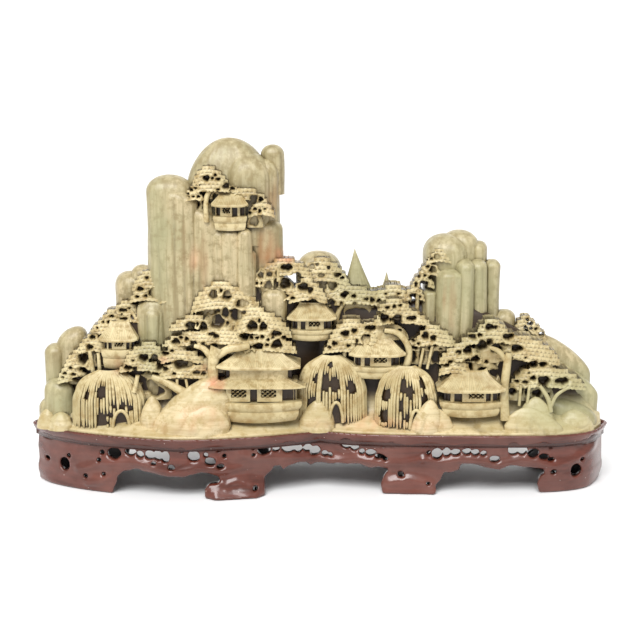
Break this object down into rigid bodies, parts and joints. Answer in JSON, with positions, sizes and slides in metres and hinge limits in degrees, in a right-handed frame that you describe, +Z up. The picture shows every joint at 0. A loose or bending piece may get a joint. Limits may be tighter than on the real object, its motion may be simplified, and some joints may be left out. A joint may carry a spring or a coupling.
{
  "type": "soapstone mountain carving",
  "caption": "Carved soapstone landscape of peaks, pines, willows and pavilions, resting on a pierced, lobed hardwood stand.",
  "frame": {"origin": "centre of the stand's footprint, on the surface it stands on", "axes": "+X along the length of the carving to the viewer's right, +Y towards its back, +Z up"},
  "size_m": [0.606, 0.1617, 0.358],
  "materials": {
    "soapstone": "waxed pale green-yellow soapstone",
    "hardwood": "glossy red-brown lacquer"
  },
  "bodies": {
    "root": {"mountain_carving": "soapstone", "stand": "hardwood"}
  },
  "joints": []
}
